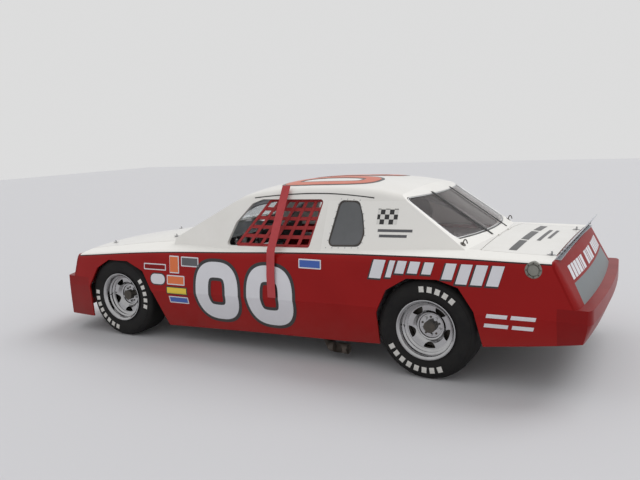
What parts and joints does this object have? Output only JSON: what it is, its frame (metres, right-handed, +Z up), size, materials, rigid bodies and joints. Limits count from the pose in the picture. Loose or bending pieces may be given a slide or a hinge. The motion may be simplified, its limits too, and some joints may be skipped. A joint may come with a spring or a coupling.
{
  "type": "two-door stock car",
  "caption": "Full-size oval-track stock car with a hollow caged cabin, turning wheels, linked steering, hinged hood and decklid, tail spoiler and window net.",
  "frame": {"origin": "on the ground under the middle of the overall length and width", "axes": "+X towards the nose, +Y to the car's left, +Z up"},
  "size_m": [4.68, 1.8288, 1.3282],
  "materials": {
    "tyre": "matte",
    "chrome_steel": "polished",
    "dark_steel": "satin",
    "glass": "clear",
    "grey_tube": "satin",
    "sheet_aluminium": "satin",
    "red_webbing": "matte",
    "black_trim": "matte",
    "white_paint": "gloss",
    "red_paint": "gloss"
  },
  "bodies": {
    "chassis": {"bulkheads": "sheet_aluminium", "cowl": "white_paint", "crossmembers": "grey_tube", "dashboard": "black_trim", "deck_filler": "white_paint", "door_bars": "grey_tube", "doors": "red_paint", "driveshaft": "dark_steel", "engine_block": "dark_steel", "exhaust": "dark_steel", "fenders": "red_paint", "floor_pan": "sheet_aluminium", "frame_rails": "grey_tube", "fuel_cell": "sheet_aluminium", "fuel_filler": "sheet_aluminium", "gearbox": "dark_steel", "glass_straps": "sheet_aluminium", "grille_panel": "red_paint", "nose": "red_paint", "quarter_windows": "glass", "quarters": "red_paint", "radiator": "sheet_aluminium", "rear_axle": "dark_steel", "rear_bumper": "red_paint", "rear_window": "glass", "roll_cage": "grey_tube", "roof": "white_paint", "seat": "sheet_aluminium", "spoiler": "sheet_aluminium", "springs": "dark_steel", "steering_column": "sheet_aluminium", "suspension_arms": "dark_steel", "tail_panel": "red_paint", "webbing_strap": "red_webbing", "wheel_tubs": "sheet_aluminium", "window_net": "red_webbing", "windshield": "glass"},
    "decklid": {"decklid": "white_paint"},
    "hood": {"hood": "white_paint"},
    "wheel_front_left": {"hub_front_left": "dark_steel", "rim_front_left": "chrome_steel", "tyre_front_left": "tyre"},
    "wheel_front_right": {"hub_front_right": "dark_steel", "rim_front_right": "chrome_steel", "tyre_front_right": "tyre"},
    "wheel_rear_left": {"hub_rear_left": "dark_steel", "rim_rear_left": "chrome_steel", "tyre_rear_left": "tyre"},
    "wheel_rear_right": {"hub_rear_right": "dark_steel", "rim_rear_right": "chrome_steel", "tyre_rear_right": "tyre"},
    "knuckle_left": {"knuckle_left": "dark_steel"},
    "knuckle_right": {"knuckle_right": "dark_steel"},
    "steering_wheel": {"steering_wheel": "black_trim"}
  },
  "joints": [
    {"name": "steer_left", "type": "hinge", "parent": "chassis", "child": "knuckle_left", "pos_m": [1.537, 0.655, 0.347], "axis": [0, 0, 1], "range_deg": [-22, 22]},
    {"name": "steer_right", "type": "hinge", "parent": "chassis", "child": "knuckle_right", "pos_m": [1.537, -0.655, 0.347], "axis": [0, 0, 1], "range_deg": [-22, 22]},
    {"name": "steering_wheel_turn", "type": "hinge", "parent": "chassis", "child": "steering_wheel", "pos_m": [0.235, 0.385, 0.8], "axis": [-0.9703, 0, 0.2419], "range_deg": [-264, 264]},
    {"name": "hood_hinge", "type": "hinge", "parent": "chassis", "child": "hood", "pos_m": [1.043, 0, 0.89814], "axis": [0, -1, 0], "range_deg": [0, 55]},
    {"name": "decklid_hinge", "type": "hinge", "parent": "chassis", "child": "decklid", "pos_m": [-1.577, 0, 0.9027], "axis": [0, 1, 0], "range_deg": [0, 55]},
    {"name": "wheel_spin_front_left", "type": "hinge", "parent": "knuckle_left", "child": "wheel_front_left", "pos_m": [1.537, 0.745, 0.347], "axis": [0, 1, 0], "continuous": true},
    {"name": "wheel_spin_rear_left", "type": "hinge", "parent": "chassis", "child": "wheel_rear_left", "pos_m": [-1.257, 0.745, 0.347], "axis": [0, 1, 0], "continuous": true},
    {"name": "wheel_spin_front_right", "type": "hinge", "parent": "knuckle_right", "child": "wheel_front_right", "pos_m": [1.537, -0.745, 0.347], "axis": [0, 1, 0], "continuous": true},
    {"name": "wheel_spin_rear_right", "type": "hinge", "parent": "chassis", "child": "wheel_rear_right", "pos_m": [-1.257, -0.745, 0.347], "axis": [0, 1, 0], "continuous": true}
  ],
  "couplings": [
    {"joint": "steer_right", "follows": "steer_left", "ratio": 1},
    {"joint": "steering_wheel_turn", "follows": "steer_left", "ratio": 12}
  ]
}
